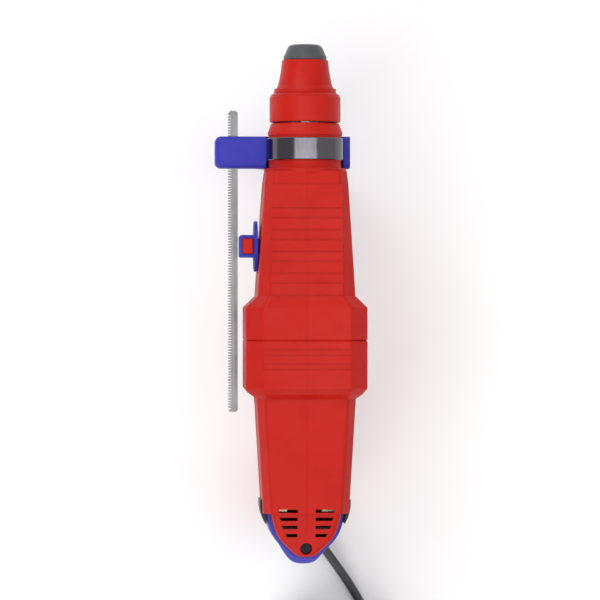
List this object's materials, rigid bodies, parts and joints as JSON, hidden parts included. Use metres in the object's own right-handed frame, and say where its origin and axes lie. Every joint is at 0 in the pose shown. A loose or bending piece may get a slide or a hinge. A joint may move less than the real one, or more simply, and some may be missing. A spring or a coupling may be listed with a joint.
{
  "type": "rotary hammer drill",
  "caption": "Corded rotary hammer with a pistol grip, a turnable side grip, a toothed depth rod, a mode selector and a keyless bit socket.",
  "frame": {"origin": "centre of the bit socket's mouth, on the spindle axis", "axes": "+Y out of the nose along the spindle, +Z out of the tool's top, +X to its right; the tool stands on z = -165 mm"},
  "size_m": [0.1392, 0.5177, 0.201],
  "materials": {
    "red_plastic": "moulded, fine texture",
    "blue_rubber": "soft overmould",
    "blue_plastic": "moulded, fine texture",
    "black_plastic": "moulded",
    "dark_rubber": "matt rubber",
    "cord_rubber": "rubber sheath",
    "dark_strap": "polished, black oxide",
    "bright_steel": "zinc plated",
    "ground_steel": "ground",
    "screw_steel": "blackened",
    "aluminium": "die cast",
    "copper": "enamelled wire",
    "laminations": "stacked sheet",
    "carbon": "pressed carbon",
    "brass": "plated"
  },
  "bodies": {
    "root": {"gear_housing": "red_plastic", "motor_housing": "red_plastic", "rear_cover": "red_plastic", "tail_band": "blue_rubber", "palm_pad": "blue_rubber", "handle_left": "red_plastic", "handle_right": "red_plastic", "handle_screws": "screw_steel", "housing_screws": "screw_steel", "cover_screw": "screw_steel", "brush_cap_left": "black_plastic", "brush_cap_right": "black_plastic", "brush_holders": "brass", "carbon_brushes": "carbon", "stator": "laminations", "field_coils": "copper", "end_frame": "black_plastic", "bearing_plate": "aluminium", "gear_frame": "aluminium", "motor_bearings": "ground_steel", "layshaft_bearings": "ground_steel", "spindle_bearings": "ground_steel", "front_seal": "dark_rubber", "wobble_ring": "ground_steel", "piston": "aluminium", "switch_body": "black_plastic", "trigger_spring": "bright_steel", "cord_guard": "cord_rubber", "cord_lead": "cord_rubber", "cord_coil": "cord_rubber", "plug_body": "cord_rubber", "plug_pins": "brass"},
    "spindle": {"tool_holder": "ground_steel", "locking_balls": "ground_steel", "dust_cap": "dark_rubber", "rear_sleeve": "red_plastic", "spring_seat": "bright_steel", "spindle_gear": "ground_steel", "impact_bolt": "ground_steel", "striker": "ground_steel", "sleeve_spring": "bright_steel"},
    "sleeve": {"locking_sleeve": "red_plastic"},
    "armature": {"armature_shaft": "ground_steel", "armature_core": "laminations", "armature_windings": "copper", "commutator": "copper", "fan": "black_plastic"},
    "layshaft": {"layshaft": "ground_steel", "layshaft_gear": "ground_steel"},
    "trigger": {"trigger": "black_plastic"},
    "lock": {"lock_button": "black_plastic"},
    "slider": {"direction_slider": "black_plastic"},
    "selector": {"selector_knob": "blue_plastic"},
    "selector_button": {"selector_button": "red_plastic"},
    "side_handle": {"clamp_strap": "dark_strap", "clamp_head": "blue_plastic", "clamp_bolt": "bright_steel"},
    "side_grip": {"side_grip": "blue_rubber"},
    "depth_rod": {"depth_rod": "bright_steel"},
    "rod_button": {"rod_button": "black_plastic"}
  },
  "joints": [
    {"name": "armature_spin", "type": "hinge", "parent": "root", "child": "armature", "pos_m": [0, -0.25, -0.01], "axis": [0, 1, 0], "continuous": true},
    {"name": "layshaft_spin", "type": "hinge", "parent": "root", "child": "layshaft", "pos_m": [0, -0.16, -0.032], "axis": [0, 1, 0], "continuous": true},
    {"name": "spindle_spin", "type": "hinge", "parent": "root", "child": "spindle", "pos_m": [0, -0.08, 0], "axis": [0, 1, 0], "continuous": true},
    {"name": "sleeve_slide", "type": "slide", "parent": "spindle", "child": "sleeve", "axis": [0, -1, 0], "range_m": [0, 0.007], "stiffness_N_per_m": 1500, "springref_m": -0.006, "deforming": ["sleeve_spring"]},
    {"name": "trigger_pull", "type": "slide", "parent": "root", "child": "trigger", "axis": [0, -1, 0], "range_m": [0, 0.006], "stiffness_N_per_m": 800, "springref_m": -0.003, "deforming": ["trigger_spring"]},
    {"name": "lock_press", "type": "slide", "parent": "root", "child": "lock", "axis": [1, 0, 0], "range_m": [0, 0.0028], "stiffness_N_per_m": 500, "springref_m": -0.002},
    {"name": "direction_slide", "type": "slide", "parent": "root", "child": "slider", "axis": [1, 0, 0], "range_m": [-0.0025, 0.0025]},
    {"name": "selector_turn", "type": "hinge", "parent": "root", "child": "selector", "pos_m": [-0.036, -0.142, -0.009], "axis": [1, 0, 0], "range_deg": [-90, 45]},
    {"name": "selector_press", "type": "slide", "parent": "selector", "child": "selector_button", "axis": [0, 0, -1], "range_m": [0, 0.0016], "stiffness_N_per_m": 500, "springref_m": -0.0015},
    {"name": "handle_swivel", "type": "hinge", "parent": "root", "child": "side_handle", "pos_m": [0, -0.071, 0], "axis": [0, 1, 0], "range_deg": [-2, 25]},
    {"name": "grip_turn", "type": "hinge", "parent": "side_handle", "child": "side_grip", "pos_m": [0, -0.07275, -0.1], "axis": [0, 0, 1], "range_deg": [0, 360]},
    {"name": "rod_slide", "type": "slide", "parent": "side_handle", "child": "depth_rod", "axis": [0, 1, 0], "range_m": [-0.015, 0.15]},
    {"name": "rod_button_press", "type": "slide", "parent": "side_handle", "child": "rod_button", "axis": [0, 0, 1], "range_m": [0, 0.003], "stiffness_N_per_m": 500, "springref_m": -0.002}
  ],
  "couplings": [
    {"joint": "layshaft_spin", "follows": "armature_spin", "ratio": -0.22222},
    {"joint": "spindle_spin", "follows": "armature_spin", "ratio": 0.051282}
  ]
}
